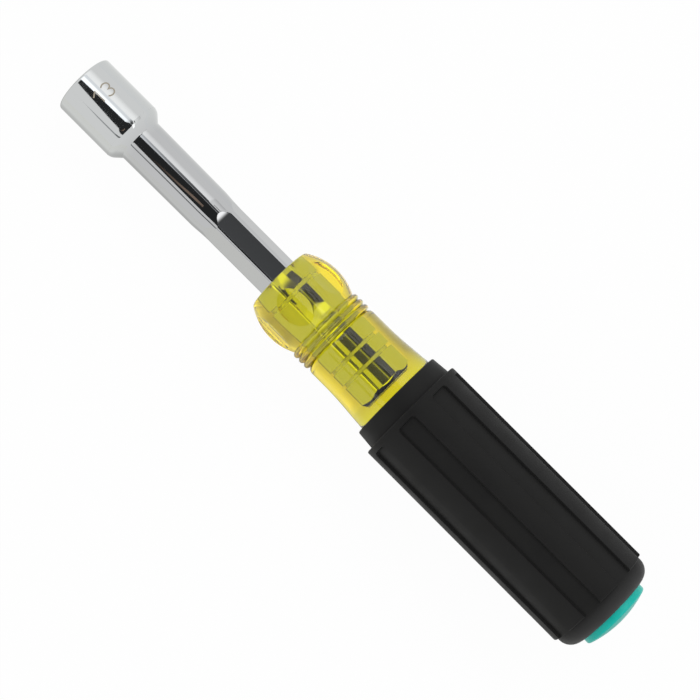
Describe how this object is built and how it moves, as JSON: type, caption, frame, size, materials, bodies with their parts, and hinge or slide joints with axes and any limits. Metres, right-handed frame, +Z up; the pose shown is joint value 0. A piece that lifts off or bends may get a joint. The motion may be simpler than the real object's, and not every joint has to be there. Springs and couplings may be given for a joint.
{
  "type": "nut driver",
  "caption": "Hand nut driver: hollow chrome shaft with a hex socket and a wrench hexagon, clear fluted handle, ribbed cushion grip and domed colour cap.",
  "frame": {"origin": "on the ground under the middle of the tool, which lies on its side with its axis level", "axes": "+X along the tool's axis from the socket's mouth to the end cap, +Z up"},
  "size_m": [0.21, 0.033, 0.0331],
  "materials": {
    "chrome_steel": "polished chrome plate on steel",
    "plug_plastic": "moulded nylon, natural colour",
    "clear_yellow": "clear yellow cellulose plastic, polished",
    "black_rubber": "moulded soft rubber, satin",
    "teal_plastic": "moulded teal plastic, satin gloss"
  },
  "bodies": {
    "root": {"socket_shaft": "chrome_steel", "shaft_plug": "plug_plastic", "handle_core": "clear_yellow", "cushion_grip": "black_rubber", "end_cap": "teal_plastic"}
  },
  "joints": []
}
